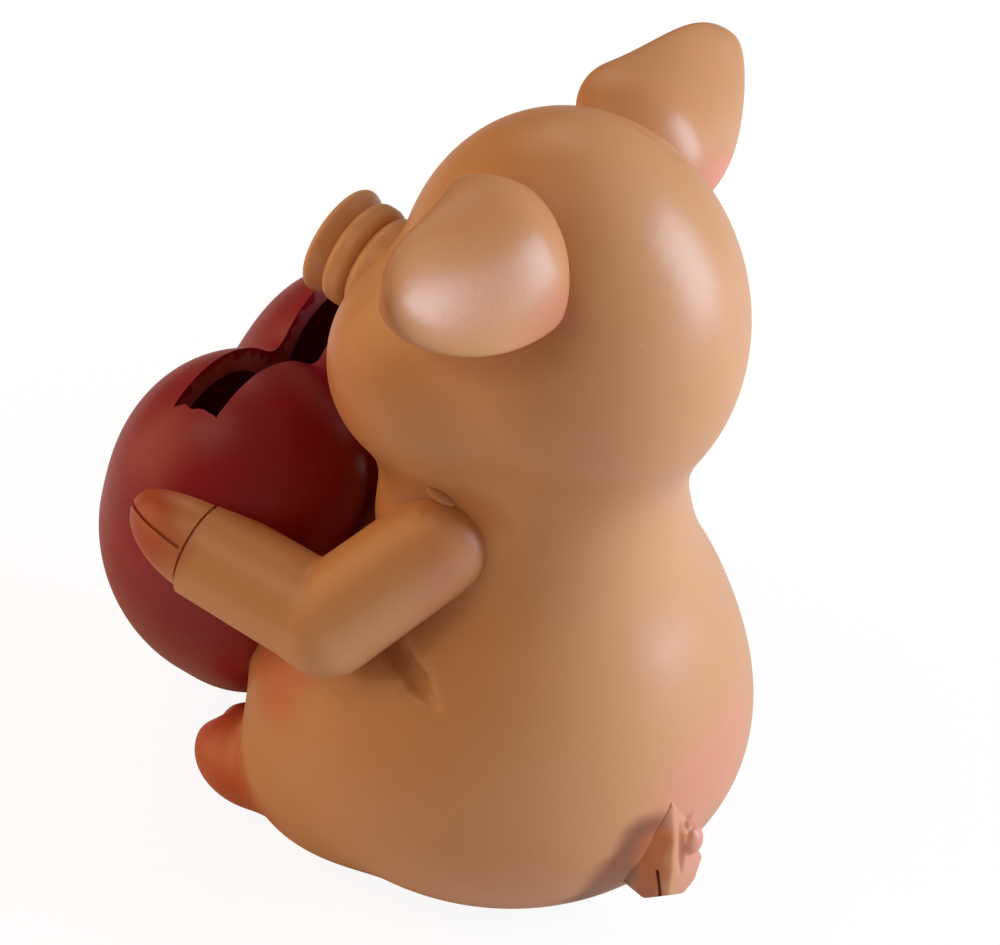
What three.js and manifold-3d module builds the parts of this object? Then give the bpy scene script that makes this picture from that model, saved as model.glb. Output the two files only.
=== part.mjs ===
// Pig money box: a sitting pig that hugs a heart, in painted cast resin. All sizes are in millimetres.
// The pig faces -Y, its left side is +X and +Z is up. It sits on the table at z = 0.
//
// The body and the head are hollow castings, glued together at the neck, so that they hold one money space.
// The heart is a third hollow casting with the coin slot in its top, and coins fall through a window in its
// back into the body. They come out at the base, where a rubber stopper plugs a round hole.
// The arms, ears, snout, feet, tail and eyes are small solid castings, each glued to a seat on a larger one.
//
// Rounded forms are sculpted as fields, as a modeller builds them up from balls of clay: a field is a
// function of a point that is negative inside the form, positive outside, and about a distance in millimetres
// near its skin.

import * as THREE from 'three';
import { mergeVertices } from 'three/addons/utils/BufferGeometryUtils.js';
import Module from 'manifold-3d';

const wasm = await Module();
wasm.setup();

// Castings
const glueGap = 0.3;
const wall = 4;

// Body: a belly, a chest that leans back under the head, and two haunches, with a soft edge on the table
const bellyWidth = 38;
const bellyDepth = 40.5;
const bellyHalfHeight = 31;
const bellyHeight = 25;
const bellyForward = 0.8;
const chestWidth = 26.5;
const chestDepth = 24.5;
const chestHalfHeight = 27;
const chestHeight = 43;
const chestBack = 9.5;
const chestSoftness = 12;
const haunchOut = 18.5;
const haunchForward = 16;
const haunchHeight = 13.5;
const haunchWidth = 14.5;
const haunchLength = 19;
const haunchHalfHeight = 16;
const haunchSplay = 6.5;
const haunchSoftness = 5;
const footingSoftness = 3;
const footingSink = 1;
const floorThickness = 6;
const bodyMiddleHeight = 38;
const bodyMiddleBack = 3;

// Neck: the castings part at a plane that leans back with the chest
const neckHeight = 71;
const neckBack = 10.5;
const neckRadius = 18;
const neckSoftness = 8;
const leanBack = 10;
const neckOverlap = 3;
const neckCapSoftness = 0.6;

// Head: a skull over the neck, with two cheeks
const headAboveNeck = 29.8;
const headBehindNeck = 1.3;
const skullWidth = 23.3;
const skullDepth = 26.5;
const skullHalfHeight = 31;
const cheekRadius = 17.2;
const cheekOut = 9.1;
const cheekForward = 15.7;
const cheekDrop = 9.5;
const headSoftness = 9;

// Snout: a ringed barrel with a flat disc and two nostrils
const snoutRadius = 8.6;
const snoutReach = 42.3;
const snoutDrop = 3.1;
const snoutTilt = 14.5;
const snoutLength = 26;
const snoutRings = 3;
const ringPitch = 4.3;
const ringNarrowing = 0.75;
const creaseDepth = 0.7;
const creaseRise = 1.1;
const discBack = 3.4;
const discEdge = 0.9;
const nostrilHalfWidth = 1.8;
const nostrilHalfHeight = 2.3;
const nostrilSpacing = 6.4;
const nostrilDepth = 2.4;

// Ears: broad leaves that stand out sideways from the skull, with their faces turned up and back
const earRootOut = 8.5;
const earRootForward = 0.2;
const earRootHeight = 22.4;
const earTipOut = 44.1;
const earTipBack = 0.2;
const earTipHeight = 24.4;
const earSag = 1.3;
const earBowBack = 2.1;
const earHalfWidth = 12;
const earThickness = 2.9;
const earCrown = 4;
const earSkew = 1.8;
const earTurn = 47;
const earTwist = 21.4;
const earTipBluntness = 2.26;
const earFullShare = 0.35;
const rightEarNearer = 1.7;
const rightEarForward = 1.3;

// Eyes: beads in the face, above the snout
const eyeRadius = 2.3;
const eyeProud = 1.1;
const eyeOut = 38;
const eyeUp = 26;

// Arms: an upper arm and a forearm that meet at the elbow, and a trotter that is a little thinner
const shoulderRadius = 8;
const elbowRadius = 8.3;
const forearmRadius = 8;
const wristRadius = 7.6;
const shoulderOut = 18.5;
const shoulderForward = 8;
const shoulderBelowNeck = 3.5;
const elbowOut = 31;
const elbowForward = 10;
const elbowHeight = 54.2;
const wristOut = 33.2;
const wristForward = 34.5;
const wristHeight = 60;
const trotterRadius = 7.3;
const trotterTipRadius = 6;
const trotterLength = 10.5;
const trotterTurnIn = 6;
const cleftWidth = 0.8;
const cleftDepth = 1.4;
const cleftShare = 0.75;
const cleftRise = 22;

// Heart: two egg-shaped lobes that run together at a point, each with a fuller crown
const heartForward = 46.1;
const heartHeight = 38.9;
const lobeWidth = 22.5;
const lobeDepth = 20.9;
const lobeLength = 35.3;
const lobeOut = 7.7;
const lobeTilt = 29;
const crownRadius = 18.7;
const crownOut = 14.8;
const crownBack = 3.9;
const crownRise = 22.5;
const crownSoftness = 6;
const heartLean = 10.5;
const cleftSoftness = 4;
const heartWall = 3.5;
const slotLength = 48;
const slotWidth = 7.9;
const slotForward = 39.5;
const windowWidth = 28;
const windowHeight = 17;
const windowDrop = 9;

// Feet: upright trotters at the ends of the legs
const footOut = 19.4;
const footForward = 33.5;
const footWidth = 9.7;
const footDepth = 12.3;
const footHalfHeight = 7.7;
const footSink = 0.7;
const footSplay = 3;

// Tail: a curl that lies across the back of the body, so that its turns stand out as three short ridges
const tailOut = 9.8;
const tailHeight = 19.5;
const tailTurn = 17;
const turnHalfWidth = 3.3;
const turnHalfHeight = 10.7;
const turnProud = 5.4;
const turnSink = 2;
const firstTurnAside = 4.8;
const firstTurnDrop = 2.2;
const firstTurnSize = 0.78;
const lastTurnAside = 4.4;
const lastTurnDrop = 4.3;
const lastTurnSize = 0.62;
const tailSoftness = 1.6;

// Base: a round hole with a rebate for the flange of the stopper
const holeRadius = 14;
const rebateRadius = 16.5;
const rebateDepth = 3;
const stopperGap = 0.3;
const stopperFlange = 2;
const stopperHeight = 8;
const stopperTaper = 0.6;
const flangeEdge = 0.5;
const gripLength = 18;
const gripWidth = 2.4;
const gripDepth = 1;

// How finely each form is faceted: faces around it, and from one end of it to the other
const bodyAround = 44;
const bodyDown = 32;
const headAround = 36;
const headDown = 28;
const heartAround = 32;
const heartDown = 24;
const hollowAround = 18;
const hollowDown = 12;
const footAround = 18;
const footDown = 12;
const armAround = 14;
const armAlong = 12;
const earAround = 20;
const earAlong = 14;
const tailAround = 24;
const tailDown = 16;
const snoutAround = 28;
const edgeSteps = 2;
const beadAround = 14;
const beadDown = 10;
const turnedAround = 32;

// Larger than the whole figure, for cuts that take everything on one side of a plane
const far = 200;

const radians = THREE.MathUtils.degToRad;
const vec = (x, y, z) => new THREE.Vector3(x, y, z);

// Fields

// An ellipsoid with these half-axes, turned by an Euler angle about its centre.
function ball(centre, radii, turn = new THREE.Euler()) {
  const back = new THREE.Quaternion().setFromEuler(turn).invert();
  const squared = radii.clone().multiply(radii);
  return (point) => {
    const p = point.clone().sub(centre).applyQuaternion(back);
    const near = p.clone().divide(radii).length();
    const slope = p.divide(squared).length();
    return slope === 0 ? -Math.min(...radii.toArray()) : (near * (near - 1)) / slope;
  };
}

// The side of a plane that a direction points to, which counts as outside.
function side(point, direction) {
  return (p) => p.clone().sub(point).dot(direction);
}

// Forms that run into each other, with the clay smoothed over within this distance of where they meet.
function blend(softness, ...forms) {
  const meet = (a, b) => {
    const near = Math.max(softness - Math.abs(a - b), 0) / softness;
    return Math.min(a, b) - (near * near * softness) / 4;
  };
  return (point) => forms.map((form) => form(point)).reduce(meet);
}

// A form without what lies outside another one, with the edge of the cut rounded within this distance.
function within(softness, form, other) {
  const left = blend(softness, (point) => -form(point), (point) => -other(point));
  return (point) => -left(point);
}

const grown = (form, by) => (point) => form(point) - by;

// How far the skin of a form is from a point inside it, in one direction.
function reach(form, from, direction) {
  const step = 0.5;
  const halvings = 18;
  const at = (distance) => form(from.clone().addScaledVector(direction, distance));
  let inside = 0;
  while (at(inside + step) < 0) inside += step;
  let outside = inside + step;
  for (let i = 0; i < halvings; i++) {
    const middle = (inside + outside) / 2;
    if (at(middle) < 0) inside = middle;
    else outside = middle;
  }
  return outside;
}

// Solids

function solidFrom(vertProperties, triVerts) {
  const numProp = 3;
  return new wasm.Manifold(new wasm.Mesh({ numProp, vertProperties, triVerts }));
}

// A solid of a closed geometry, whichever way round its faces were wound.
function solid(geometry) {
  const bare = geometry.clone();
  bare.deleteAttribute('normal');
  bare.deleteAttribute('uv');
  const merged = mergeVertices(bare);
  const places = new Float32Array(merged.attributes.position.array);
  const faces = new Uint32Array(merged.index.array);
  const made = solidFrom(places, faces);
  return made.volume() > 0 ? made : solidFrom(places, faces.reverse());
}

// A sphere whose vertices are pushed out along their rays to the skin of a form.
function sculpt(form, centre, around, down) {
  const sphere = new THREE.SphereGeometry(1, around, down).rotateX(Math.PI / 2);
  const places = sphere.attributes.position;
  const direction = vec();
  for (let i = 0; i < places.count; i++) {
    direction.fromBufferAttribute(places, i).normalize();
    const skin = centre.clone().addScaledVector(direction, reach(form, centre, direction));
    places.setXYZ(i, skin.x, skin.y, skin.z);
  }
  return solid(sphere);
}

// A sphere wrapped along a curve: each of its rings becomes a section of a limb, and its ends are points.
// across(share) points across the limb, and section(share, angle) gives how far the skin lies from the curve,
// across it and above it.
function limb(curve, across, section, around, along) {
  const sphere = new THREE.SphereGeometry(1, around, along);
  const places = sphere.attributes.position;
  for (let ring = 0; ring <= along; ring++) {
    const share = (1 - Math.cos((Math.PI * ring) / along)) / 2;
    const place = curve.getPointAt(share);
    const ahead = curve.getTangentAt(share);
    const level = across(share);
    const sideways = level.clone().addScaledVector(ahead, -level.dot(ahead)).normalize();
    const upwards = ahead.clone().cross(sideways);
    for (let step = 0; step <= around; step++) {
      const angle = (2 * Math.PI * (step % around)) / around;
      const [out, up] = ring % along === 0 ? [0, 0] : section(share, angle);
      const skin = place.clone().addScaledVector(sideways, out).addScaledVector(upwards, up);
      places.setXYZ(ring * (around + 1) + step, skin.x, skin.y, skin.z);
    }
  }
  return solid(sphere);
}

// A rod with round ends, which are balls about its two end points.
function roundRod(start, end, startRadius, endRadius, around, along) {
  const ahead = end.clone().sub(start).normalize();
  const tail = start.clone().addScaledVector(ahead, -startRadius);
  const tip = end.clone().addScaledVector(ahead, endRadius);
  const length = tail.distanceTo(tip);
  const section = (share, angle) => {
    const full = THREE.MathUtils.lerp(startRadius, endRadius, share);
    const fromEnd = Math.min(Math.min(share, 1 - share) * length, full);
    const radius = Math.sqrt(full ** 2 - (full - fromEnd) ** 2);
    return [radius * Math.cos(angle), radius * Math.sin(angle)];
  };
  return limb(new THREE.LineCurve3(tail, tip), () => vec(0, 0, 1), section, around, along);
}

const still = new THREE.Matrix4();

// A round solid turned about Z from an outline of [radius, height] points, and then put in its place.
function turned(outline, around, place = still) {
  const lathe = new THREE.LatheGeometry(outline.map(([r, z]) => new THREE.Vector2(r, z)), around);
  return solid(lathe.rotateX(Math.PI / 2).applyMatrix4(place));
}

function cylinder(radius, from, to, place = still) {
  return turned([[0, from], [radius, from], [radius, to], [0, to]], turnedAround, place);
}

function block(width, depth, height, centre, place = still) {
  const box = new THREE.BoxGeometry(width, depth, height).translate(centre.x, centre.y, centre.z);
  return solid(box.applyMatrix4(place));
}

// Everything on the side of a plane that a direction points to.
function beyond(point, direction) {
  const turn = new THREE.Quaternion().setFromUnitVectors(vec(0, 0, 1), direction);
  const place = new THREE.Matrix4().makeRotationFromQuaternion(turn).setPosition(point);
  return block(2 * far, 2 * far, far, vec(0, 0, far / 2), place);
}

// Body and head

const lean = new THREE.Euler(radians(-leanBack), 0, 0);
const leaning = vec(0, 0, 1).applyEuler(lean);
const bellyCentre = vec(0, -bellyForward, bellyHeight);
const bodyMiddle = vec(0, bodyMiddleBack, bodyMiddleHeight);
const chestCentre = vec(0, chestBack, chestHeight);
const neckCentre = vec(0, neckBack, neckHeight);
const headCentre = vec(0, neckBack + headBehindNeck, neckHeight + headAboveNeck);

function haunch(way) {
  const centre = vec(way * haunchOut, -haunchForward, haunchHeight);
  const splay = new THREE.Euler(0, 0, radians(way * haunchSplay));
  return ball(centre, vec(haunchWidth, haunchLength, haunchHalfHeight), splay);
}

function cheek(way) {
  const centre = headCentre.clone().add(vec(way * cheekOut, -cheekForward, -cheekDrop));
  return ball(centre, vec(cheekRadius, cheekRadius, cheekRadius));
}

const belly = ball(bellyCentre, vec(bellyWidth, bellyDepth, bellyHalfHeight));
const chest = ball(chestCentre, vec(chestWidth, chestDepth, chestHalfHeight), lean);
const neck = ball(neckCentre, vec(neckRadius, neckRadius, neckRadius));
const trunk = blend(chestSoftness, belly, chest, neck);
const seated = blend(haunchSoftness, trunk, haunch(1), haunch(-1));
const torsoForm = within(footingSoftness, seated, side(vec(0, 0, -footingSink), vec(0, 0, -1)));
const skull = ball(headCentre, vec(skullWidth, skullDepth, skullHalfHeight));
const headForm = blend(headSoftness, skull, cheek(1), cheek(-1));
const figureForm = blend(neckSoftness, headForm, torsoForm);

// The part of a form that lies on one side of the neck plane, and a little past it.
function upToNeck(form, direction, past) {
  const plane = neckCentre.clone().addScaledVector(direction, past);
  return within(neckCapSoftness, form, side(plane, direction));
}

const down = leaning.clone().negate();
const torsoBody = upToNeck(figureForm, leaning, neckOverlap);
const torsoSkin = sculpt(torsoBody, bodyMiddle, bodyAround, bodyDown);
const torsoFit = sculpt(grown(torsoBody, glueGap), bodyMiddle, bodyAround, bodyDown);
const torsoHollow = grown(upToNeck(figureForm, leaning, neckOverlap + wall), -wall);
const torsoSpace = sculpt(torsoHollow, bodyMiddle, hollowAround, hollowDown);

const headBody = upToNeck(figureForm, down, neckOverlap);
const headSkin = sculpt(headBody, headCentre, headAround, headDown);
const headFit = sculpt(grown(headBody, glueGap), headCentre, headAround, headDown);
const headHollow = grown(upToNeck(figureForm, down, neckOverlap + wall), -wall);
const headSpace = sculpt(headHollow, headCentre, hollowAround, hollowDown);

// Everything above the neck plane, from a gap over it.
function aboveNeck(gap) {
  return beyond(neckCentre.clone().addScaledVector(leaning, gap), leaning);
}

// Heart

const heartPlace = new THREE.Matrix4()
  .makeRotationX(radians(-heartLean))
  .setPosition(0, -heartForward, heartHeight);
const intoHeart = heartPlace.clone().invert();
const heartCentre = vec(0, 0, 0).applyMatrix4(heartPlace);

function heartLobe(way) {
  const tilt = new THREE.Euler(0, radians(way * lobeTilt), 0);
  const egg = ball(vec(way * lobeOut, 0, 0), vec(lobeWidth, lobeDepth, lobeLength), tilt);
  const crown = ball(vec(way * crownOut, crownBack, crownRise), vec(crownRadius, crownRadius, crownRadius));
  return blend(crownSoftness, egg, crown);
}

const bothLobes = blend(cleftSoftness, heartLobe(1), heartLobe(-1));
const heartForm = (point) => bothLobes(point.clone().applyMatrix4(intoHeart));
const heartSkin = sculpt(heartForm, heartCentre, heartAround, heartDown);
const heartFit = sculpt(grown(heartForm, glueGap), heartCentre, heartAround, heartDown);
const heartSpace = sculpt(grown(heartForm, -heartWall), heartCentre, hollowAround, hollowDown);

const coinSlot = block(slotLength, slotWidth, lobeLength, vec(0, -slotForward, heartHeight + lobeLength));
const windowPlace = new THREE.Matrix4().compose(
  vec(0, lobeDepth - heartForward, heartHeight - windowDrop),
  new THREE.Quaternion().setFromEuler(new THREE.Euler(Math.PI / 2, 0, 0)),
  vec(windowWidth / 2, windowHeight / 2, lobeDepth),
);
const coinWindow = cylinder(1, -1, 1, windowPlace);

const below = (height) => beyond(vec(0, 0, height), vec(0, 0, -1));
const plugHole = cylinder(holeRadius, -wall, floorThickness + wall);
const plugRebate = cylinder(rebateRadius, -wall, rebateDepth);
const torso = torsoSkin
  .subtract(aboveNeck(0))
  .subtract(torsoSpace.subtract(below(floorThickness)))
  .subtract(below(0))
  .subtract(plugHole)
  .subtract(plugRebate)
  .subtract(coinWindow);
const head = headSkin.intersect(aboveNeck(glueGap)).subtract(headSpace);
const heart = heartSkin
  .subtract(heartSpace)
  .subtract(torsoFit)
  .subtract(coinSlot)
  .subtract(coinWindow);

// Snout

function makeSnout() {
  const place = new THREE.Matrix4()
    .makeRotationX(radians(90 - snoutTilt))
    .setPosition(headCentre.clone().add(vec(0, -snoutReach, -snoutDrop)));
  const narrowest = snoutRadius - ringNarrowing * (snoutRings - 1);
  const outline = [[0, -snoutLength], [narrowest, -snoutLength]];
  for (let ring = snoutRings - 1; ring > 0; ring--) {
    const crease = -discBack - (ring - 1) * ringPitch;
    const behind = snoutRadius - ringNarrowing * ring;
    outline.push([behind, crease - creaseRise]);
    outline.push([behind - creaseDepth, crease]);
    outline.push([behind, crease + creaseRise]);
  }
  for (let step = 0; step <= edgeSteps; step++) {
    const turn = (Math.PI / 2) * (step / edgeSteps);
    const inset = discEdge * (1 - Math.cos(turn));
    outline.push([snoutRadius - inset, -discEdge * (1 - Math.sin(turn))]);
  }
  outline.push([0, 0]);
  const nostril = (way) => {
    const pit = new THREE.SphereGeometry(1, beadAround, beadDown);
    pit.scale(nostrilHalfWidth, nostrilHalfHeight, nostrilDepth);
    return solid(pit.translate((way * nostrilSpacing) / 2, 0, 0).applyMatrix4(place));
  };
  const barrel = turned(outline, snoutAround, place);
  return barrel.subtract(nostril(1)).subtract(nostril(-1)).subtract(headFit);
}

// Ears

function makeEar(shift) {
  const root = headCentre.clone().add(vec(earRootOut, -earRootForward, earRootHeight)).add(shift);
  const tip = headCentre.clone().add(vec(earTipOut, earTipBack, earTipHeight)).add(shift);
  const bow = root.clone().lerp(tip, 0.5).add(vec(0, earBowBack, -earSag));
  const curve = new THREE.QuadraticBezierCurve3(root, bow, tip);
  const across = (share) => {
    const turn = radians(earTurn + earTwist * (share - 0.5));
    return vec(0, Math.cos(turn), -Math.sin(turn));
  };
  const section = (share, angle) => {
    const fromRoot = (Math.PI / 2) * Math.min(share / earFullShare, 1);
    const leaf = Math.sqrt((1 - share ** earTipBluntness) * Math.sin(fromRoot));
    const skew = earSkew * leaf * Math.sin(Math.PI * share);
    const thickness = earThickness * Math.sqrt(leaf) * Math.sin(angle);
    const crown = earCrown * leaf * Math.sin(angle) ** 2;
    return [skew + earHalfWidth * leaf * Math.cos(angle), thickness + crown];
  };
  return limb(curve, across, section, earAround, earAlong).subtract(headFit);
}

// A thin cut that parts a trotter's two toes: it runs along the trotter, in the side that faces one way.
function cleftCut(centre, along, outwards, radius) {
  const length = radius * 2;
  const place = new THREE.Matrix4().makeBasis(along, outwards, along.clone().cross(outwards));
  return block(length, 2 * cleftDepth, cleftWidth, vec(0, radius, 0), place.setPosition(centre));
}

// Arms

function makeArm() {
  const shoulder = vec(shoulderOut, neckBack - shoulderForward, neckHeight - shoulderBelowNeck);
  const elbow = vec(elbowOut, -elbowForward, elbowHeight);
  const wrist = vec(wristOut, -wristForward, wristHeight);
  const inward = new THREE.Euler(0, 0, radians(-trotterTurnIn));
  const forward = wrist.clone().sub(elbow).normalize();
  const onward = forward.clone().applyEuler(inward);
  const tip = wrist.clone().addScaledVector(onward, trotterLength - trotterTipRadius);
  const upper = roundRod(shoulder, elbow, shoulderRadius, elbowRadius, armAround, armAlong);
  const pastWrist = wrist.clone().addScaledVector(forward, wristRadius);
  const lower = roundRod(elbow, pastWrist, forearmRadius, wristRadius, armAround, armAlong);
  const cuff = lower.subtract(beyond(wrist, forward));
  const heel = wrist.clone().addScaledVector(onward, -trotterRadius / 2);
  const trotter = roundRod(heel, tip, trotterRadius, trotterTipRadius, armAround, armAlong);
  const aside = vec(0, 0, 1).cross(onward).normalize();
  const outwards = aside.applyAxisAngle(onward, radians(cleftRise));
  const cleft = cleftCut(wrist.clone().lerp(tip, cleftShare), onward, outwards, trotterRadius);
  const arm = upper.add(cuff).add(trotter.subtract(cleft));
  return arm.subtract(torsoFit).subtract(heartFit).subtract(headFit);
}

// Feet

function makeFoot() {
  const centre = vec(footOut, -footForward, footHalfHeight - footSink);
  const splay = new THREE.Euler(0, 0, radians(footSplay));
  const whole = ball(centre, vec(footWidth, footDepth, footHalfHeight), splay);
  const cleft = cleftCut(centre, vec(0, 0, 1), vec(0, -1, 0), footDepth);
  const foot = sculpt(whole, centre, footAround, footDown).subtract(below(0)).subtract(cleft);
  return foot.subtract(torsoFit).subtract(heartFit);
}

// Tail

function makeTail() {
  const aslant = new THREE.Euler(0, 0, radians(-tailTurn));
  const across = vec(1, 0, 0).applyEuler(aslant);
  const outwards = vec(0, 1, 0).applyEuler(aslant);
  const middle = vec(tailOut, 0, tailHeight);
  middle.y = reach(torsoForm, middle, vec(0, 1, 0)) - turnSink;
  const turn = (aside, drop, size) => {
    const centre = middle.clone().addScaledVector(across, aside).add(vec(0, 0, -drop));
    return ball(centre, vec(turnHalfWidth, (turnProud + turnSink) * size, turnHalfHeight * size), aslant);
  };
  const first = turn(-firstTurnAside, firstTurnDrop, firstTurnSize);
  const last = turn(lastTurnAside, lastTurnDrop, lastTurnSize);
  const form = blend(tailSoftness, turn(0, 0, 1), first, last);
  const tail = sculpt(form, middle.clone().addScaledVector(outwards, turnSink), tailAround, tailDown);
  return tail.subtract(torsoFit);
}

// Eyes

function makeEye() {
  const way = vec(Math.sin(radians(eyeOut)), -Math.cos(radians(eyeOut)), Math.tan(radians(eyeUp))).normalize();
  const skin = reach(headForm, headCentre, way);
  const centre = headCentre.clone().addScaledVector(way, skin + eyeProud - eyeRadius);
  const bead = new THREE.SphereGeometry(eyeRadius, beadAround, beadDown);
  return solid(bead.translate(centre.x, centre.y, centre.z)).subtract(headFit);
}

// Stopper

function makeStopper() {
  const bottom = rebateDepth - stopperFlange - stopperGap;
  const radius = holeRadius - stopperGap;
  const rim = rebateRadius - stopperGap;
  const top = bottom + stopperHeight;
  const floor = bottom + stopperFlange;
  const plug = turned([
    [0, bottom],
    [rim - flangeEdge, bottom],
    [rim, bottom + flangeEdge],
    [rim, floor],
    [radius, floor],
    [radius - stopperTaper, top],
    [0, top],
  ], turnedAround);
  return plug.subtract(block(gripLength, gripWidth, 2 * gripDepth, vec(0, 0, bottom)));
}

// Assembly

const skinPaint = { color: 0xd9a374, roughness: 0.5, metalness: 0 };
const heartPaint = { color: 0x8e1a24, roughness: 0.45, metalness: 0 };
const trotterPaint = { color: 0xc9694a, roughness: 0.5, metalness: 0 };
const blackGloss = { color: 0x100c0b, roughness: 0.15, metalness: 0 };
const rubber = { color: 0x1d1c1b, roughness: 0.8, metalness: 0 };

const figure = new THREE.Group();
figure.name = 'figure';

function geometryOf(made) {
  const mesh = made.getMesh();
  const geometry = new THREE.BufferGeometry();
  geometry.setAttribute('position', new THREE.BufferAttribute(mesh.vertProperties, 3));
  geometry.setIndex(new THREE.BufferAttribute(mesh.triVerts, 1));
  return geometry;
}

// The same shape on the other side, with its faces wound the other way, so that they still face out.
function mirrored(geometry) {
  const other = geometry.clone().scale(-1, 1, 1);
  other.index.array.reverse();
  return other;
}

function addPiece(name, geometry, paint) {
  geometry.computeVertexNormals();
  const piece = new THREE.Mesh(geometry, new THREE.MeshStandardMaterial(paint));
  piece.name = name;
  figure.add(piece);
}

function addPair(name, made, paint) {
  const left = geometryOf(made);
  addPiece(name + '_left', left, paint);
  addPiece(name + '_right', mirrored(left), paint);
}

addPiece('torso', geometryOf(torso), skinPaint);
addPiece('head', geometryOf(head), skinPaint);
addPiece('heart', geometryOf(heart), heartPaint);
addPiece('snout', geometryOf(makeSnout()), skinPaint);
addPiece('tail', geometryOf(makeTail()), skinPaint);
addPiece('stopper', geometryOf(makeStopper()), rubber);
addPiece('ear_left', geometryOf(makeEar(vec())), skinPaint);
addPiece('ear_right', mirrored(geometryOf(makeEar(vec(-rightEarNearer, -rightEarForward, 0)))), skinPaint);
addPair('arm', makeArm(), skinPaint);
addPair('foot', makeFoot(), trotterPaint);
addPair('eye', makeEye(), blackGloss);

// The frame's origin is at the middle of the figure, on the table.
const pig = new THREE.Group();
pig.name = 'pig_money_box';
pig.add(figure);
figure.position.y = -new THREE.Box3().setFromObject(figure).getCenter(vec()).y;

export default pig;
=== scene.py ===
# %% [markdown]
# # A pig money box that hugs a heart
# The object is a cast resin money box, sprayed with satin paint: a sitting pig with a red heart in its arms. The packed
# model gives the true sizes and the bodies that move, in plain facets. This lesson makes the smooth, painted surface
# that the eye sees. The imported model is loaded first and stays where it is, and every new piece is fitted to it.

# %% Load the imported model
import math
from typing import Callable, NamedTuple

import bmesh
import bpy
import numpy as np
from mathutils import Euler, Matrix, Vector, noise


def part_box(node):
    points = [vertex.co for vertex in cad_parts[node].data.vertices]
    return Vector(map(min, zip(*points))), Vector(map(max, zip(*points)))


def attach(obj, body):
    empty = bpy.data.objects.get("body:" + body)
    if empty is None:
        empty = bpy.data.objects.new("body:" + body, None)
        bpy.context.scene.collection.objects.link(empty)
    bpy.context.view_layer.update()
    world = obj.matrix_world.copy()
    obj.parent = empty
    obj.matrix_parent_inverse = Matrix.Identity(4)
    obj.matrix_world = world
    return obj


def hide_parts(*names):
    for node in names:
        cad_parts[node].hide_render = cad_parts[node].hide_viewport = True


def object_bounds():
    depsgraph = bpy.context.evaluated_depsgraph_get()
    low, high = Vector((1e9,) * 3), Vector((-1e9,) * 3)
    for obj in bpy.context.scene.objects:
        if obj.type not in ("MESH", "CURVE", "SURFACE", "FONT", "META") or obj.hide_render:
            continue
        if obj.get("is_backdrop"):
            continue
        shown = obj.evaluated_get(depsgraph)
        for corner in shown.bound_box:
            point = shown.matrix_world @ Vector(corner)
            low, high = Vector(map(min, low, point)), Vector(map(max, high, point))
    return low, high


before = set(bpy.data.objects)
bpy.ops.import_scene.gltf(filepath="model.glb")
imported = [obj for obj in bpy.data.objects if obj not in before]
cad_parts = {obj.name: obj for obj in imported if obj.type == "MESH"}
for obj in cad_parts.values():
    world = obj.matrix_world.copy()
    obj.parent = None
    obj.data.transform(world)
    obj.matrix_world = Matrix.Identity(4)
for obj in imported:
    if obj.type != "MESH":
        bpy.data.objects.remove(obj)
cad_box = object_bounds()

# %% [markdown]
# ## Working units
# Sizes here are millimetres, as on the drawing of the figure, with the plug hole's axis at x = 0 and y = 0. Blender's
# unit is the metre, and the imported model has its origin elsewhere, so one matrix places each finished mesh. The
# stopper is a turned part, so the middle of its box is that axis.

# %% From the figure's millimetres to the scene's metres
MM = 0.001
plug_low, plug_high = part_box("stopper")
figure_place = Matrix.Translation((0, (plug_low.y + plug_high.y) / 2, 0)) @ Matrix.Scale(MM, 4)
print("the plug hole is at y =", round(figure_place.translation.y / MM, 3), "mm")

# %% [markdown]
# ## Clay
# A figurine starts as clay: balls pressed together, with the joints smoothed over. Subdivision modelling from a cube
# would need a hand-placed cage for every bulge. Metaballs blend like this, but can't be cut or measured. So a clay here
# is a pair: a function that says about how far a point is outside the form, and the balls that block it out.

# %% Balls, rods, and how they blend
class Clay(NamedTuple):
    field: Callable
    lumps: list


def ball(centre, radii, turn=(0, 0, 0)):
    """An ellipsoid with these half-axes, turned by Euler angles in degrees."""
    angles = Euler([math.radians(a) for a in turn])
    turned, middle, halves = np.array(angles.to_matrix()), np.array(centre, float), np.array(radii, float)

    def field(points):
        local = (points - middle) @ turned
        near = np.linalg.norm(local / halves, axis=1)
        slope = np.linalg.norm(local / halves**2, axis=1)
        return near * (near - 1) / np.maximum(slope, 1e-6)

    return Clay(field, [Matrix.LocRotScale(Vector(centre), angles, Vector(radii))])


def rod(start, end, start_radius, end_radius):
    """A rod with round ends that tapers from one radius to the other."""
    a, along = np.array(start, float), np.array(end, float) - np.array(start, float)

    def field(points):
        share = np.clip((points - a) @ along / (along @ along), 0, 1)
        from_axis = np.linalg.norm(points - a - share[:, None] * along, axis=1)
        return from_axis - start_radius - (end_radius - start_radius) * share

    steps = max(2, math.ceil(np.linalg.norm(along) / (0.3 * min(start_radius, end_radius))))
    shares = [i / steps for i in range(steps + 1)]
    radii = [start_radius + (end_radius - start_radius) * s for s in shares]
    return Clay(field, [Matrix.LocRotScale(Vector(a + s * along), None, Vector([r] * 3))
                        for s, r in zip(shares, radii)])


def blend(softness, *clays):
    """Forms that run into each other, smoothed over within this distance of where they meet."""
    def field(points):
        merged = clays[0].field(points)
        for clay in clays[1:]:
            other = clay.field(points)
            near = np.maximum(softness - np.abs(merged - other), 0) / softness
            merged = np.minimum(merged, other) - near**2 * softness / 4
        return merged

    return Clay(field, [lump for clay in clays for lump in clay.lumps])


def dented(softness, clay, tool):
    """A form with another one pressed into it."""
    pressed = blend(softness, Clay(lambda points: -clay.field(points), []), tool)
    return Clay(lambda points: -pressed.field(points), clay.lumps)


def grown(clay, by):
    return Clay(lambda points: clay.field(points) - by, clay.lumps)


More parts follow.
